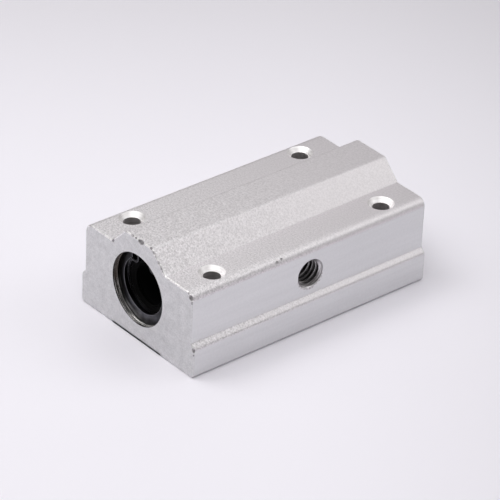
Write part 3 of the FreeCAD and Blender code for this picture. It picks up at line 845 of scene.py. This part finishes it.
# %% Copy the seal to the rear end
rear_seal = copy_to_rear(seal, "rear_outer_seal_ring")
for piece, node in ((seal, "front_outer_seal"), (rear_seal, "rear_outer_seal")):
    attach(piece, "root")
    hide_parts(node)
    print(piece.name, len(piece.data.polygons), "faces")

# %% [markdown]
# ## The rest of the bushings
# The sleeves, cages, balls and inner seals keep their CAD shapes, which are exact, and get the finishes
# of the real things: ground bearing steel, moulded black acetal, polished bearing balls and rubber.

# %% Ground steel
ground, tree, shader, place = new_finish("ground_bearing_steel", 1.0, 0.22)
ring_place = add(tree, "ShaderNodeMapping", {"Vector": place, "Scale": (0.05, 1.0, 0.05)})
rings = add(tree, "ShaderNodeTexNoise", {
    "Vector": ring_place.outputs["Vector"], "Scale": 1 / (0.12 * MM), "Detail": 2.0})
tone = add(tree, "ShaderNodeMix", {
    "Factor": rings.outputs["Fac"], "A": colour("#9A9A9E"), "B": colour("#C9C9CC")}, data_type="RGBA")
tree.links.new(tone.outputs["Result"], shader.inputs["Base Color"])
print("Grinding marks drawn at 0.12 mm in", ground.name)

# %% Moulded acetal and polished balls
acetal, tree, shader, place = new_finish("moulded_black_acetal", 0.0, 0.5)
shader.inputs["IOR"].default_value = 1.48
shader.inputs["Specular IOR Level"].default_value = 0.1
grain = add(tree, "ShaderNodeTexNoise", {"Vector": place, "Scale": 1 / (0.5 * MM), "Detail": 2.0})
tone = add(tree, "ShaderNodeMix", {
    "Factor": grain.outputs["Fac"], "A": colour("#0B0B0C"), "B": colour("#121213")}, data_type="RGBA")
tree.links.new(tone.outputs["Result"], shader.inputs["Base Color"])

polished, tree, shader, place = new_finish("polished_bearing_balls", 1.0, 0.12)
oil_film = add(tree, "ShaderNodeTexNoise", {"Vector": place, "Scale": 1 / (1.2 * MM), "Detail": 1.0})
tone = add(tree, "ShaderNodeMix", {
    "Factor": oil_film.outputs["Fac"], "A": colour("#B8B8BC"), "B": colour("#D6D6D9")}, data_type="RGBA")
tree.links.new(tone.outputs["Result"], shader.inputs["Base Color"])
print("Bushing finishes:", ground.name, acetal.name, polished.name)

# %% Dress the CAD nodes
FINISH_OF = {
    "housing": blasted,
    "circlip": black_steel,
    "sleeve": ground,
    "cage": acetal,
    "circuit": polished,
    "seal": rubber,
}
for name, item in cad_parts.items():
    item.data.materials.clear()
    for word, finish in FINISH_OF.items():
        if word in name:
            item.data.materials.append(finish)
print("CAD nodes dressed:", len(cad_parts))

# %% [markdown]
# ## Camera
# The camera looks down on the front end and the port side with a long lens. It is turned to its place by
# three angles: round the vertical, above the horizon, and a slight roll.

# %% Camera
AIM = Vector((-3.755, 1.844, 6.541)) * MM
AWAY = 615.0 * MM
TURN, RISE, ROLL = 48.8, 31.698, 2.565
lens = bpy.data.cameras.new("camera")
lens.lens = 228.226
lens.sensor_width = 36.0
lens.clip_start = 0.01
lens.clip_end = 20.0
camera = bpy.data.objects.new("camera", lens)
bpy.context.scene.collection.objects.link(camera)
tilt = Euler((math.radians(90 - RISE), 0, math.radians(TURN))).to_matrix()
roll = Euler((0, 0, math.radians(ROLL))).to_matrix()
facing = (tilt @ roll).to_4x4()
facing.translation = AIM + facing.to_3x3() @ Vector((0, 0, AWAY))
camera.matrix_world = facing
bpy.context.scene.camera = camera
print("The camera stands at, mm:", [round(part / MM) for part in facing.translation])

# %% [markdown]
# ## Floor and light
# The block lies on white paper. The paper is a little greyer far behind the block and to its right, as
# paper is where it leaves the lamps, and that is drawn in its colour, from object coordinates.

# %% Paper floor
rest()
bpy.ops.mesh.primitive_plane_add(size=6.0, location=(0, 0, 0))
floor = bpy.context.active_object
floor.name = "floor"
paper, tree, shader, place = new_finish("white_paper", 0.0, 0.95)
shader.inputs["Specular IOR Level"].default_value = 0.2
turned_place = add(tree, "ShaderNodeMapping", {"Vector": place, "Rotation": (0, 0, math.radians(-TURN))})
split = add(tree, "ShaderNodeSeparateXYZ", {"Vector": turned_place.outputs["Vector"]})
behind = add(tree, "ShaderNodeMapRange", {
    "Value": split.outputs["Y"], "From Min": 25 * MM, "From Max": 210 * MM},
    interpolation_type="SMOOTHSTEP")
beside = add(tree, "ShaderNodeMapRange", {
    "Value": split.outputs["X"], "From Min": 0.0, "From Max": 90 * MM},
    interpolation_type="SMOOTHSTEP")
depth = add(tree, "ShaderNodeMix", {
    "Factor": behind.outputs["Result"], "A": colour("#F5F2F9"), "B": colour("#D6D3D8")}, data_type="RGBA")
across = add(tree, "ShaderNodeMix", {
    "Factor": beside.outputs["Result"], "A": depth.outputs["Result"], "B": colour("#EFEFEF")},
    data_type="RGBA", blend_type="MULTIPLY")
tree.links.new(across.outputs["Result"], shader.inputs["Base Color"])
floor.data.materials.append(paper)
print("The paper's tone changes", [25, 210], "mm behind the block")

# %% [markdown]
# The room is a studio with a white ceiling, pale walls low down and a dim band between them, so that the
# metal has dark and bright to mirror and the block stands on a crisp contact shadow. The key is a soft
# box close above the front left. A second one above whitens the countersinks, one at the back right
# lights the slopes, a wide one at the back left is what the flat top mirrors, and one low at the front
# left shines on the rubbed end edges. Boxes are given by the light they show, so a bigger one needs
# more power.

# %% The room
scene = bpy.context.scene
scene.view_settings.view_transform = "Standard"
world = bpy.data.worlds.new("studio")
scene.world = world
world.use_nodes = True
tree = world.node_tree
sky = add(tree, "ShaderNodeSeparateXYZ", {"Vector": add(tree, "ShaderNodeTexCoord").outputs["Generated"]})
low = add(tree, "ShaderNodeMapRange", {"Value": sky.outputs["Z"], "From Min": 0.42, "From Max": 0.22})
walls = add(tree, "ShaderNodeMix", {
    "Factor": low.outputs["Result"], "A": colour("#555454"), "B": colour("#BBB9B9")}, data_type="RGBA")
high = add(tree, "ShaderNodeMapRange", {"Value": sky.outputs["Z"], "From Min": 0.6, "From Max": 0.85})
ceiling = add(tree, "ShaderNodeMix", {
    "Factor": high.outputs["Result"], "A": walls.outputs["Result"], "B": colour("#FDFDFD")},
    data_type="RGBA")
tree.links.new(ceiling.outputs["Result"], tree.nodes["Background"].inputs["Color"])
tree.nodes["Background"].inputs["Strength"].default_value = 0.97
print("The room is lit at", tree.nodes["Background"].inputs["Strength"].default_value)

# %% The soft boxes

def softbox(name, direction, away, size, radiance):
    """A square lamp that looks at the block from a direction; radiance 1 is as bright as white paper."""
    lamp = bpy.data.lights.new(name, "AREA")
    lamp.shape = "SQUARE"
    lamp.size = size
    lamp.energy = radiance * math.pi * size ** 2
    item = bpy.data.objects.new(name, lamp)
    scene.collection.objects.link(item)
    way = Vector(direction).normalized()
    item.location = way * away
    item.rotation_euler = way.to_track_quat("Z", "Y").to_euler()
    return item


softbox("key_box", (-0.3, -0.3, 0.9), 0.4, 0.2, 3.7)
softbox("top_box", (0.39, -0.345, 0.85), 0.4, 0.2, 1.3)
softbox("back_right_box", (0.47, 0.62, 0.63), 0.38, 0.2, 1.35)
softbox("front_left_box", (-0.64, -0.52, 0.56), 0.6, 0.2, 1.0)
softbox("back_left_box", (-0.64, 0.56, 0.53), 1.0, 0.5, 0.55)
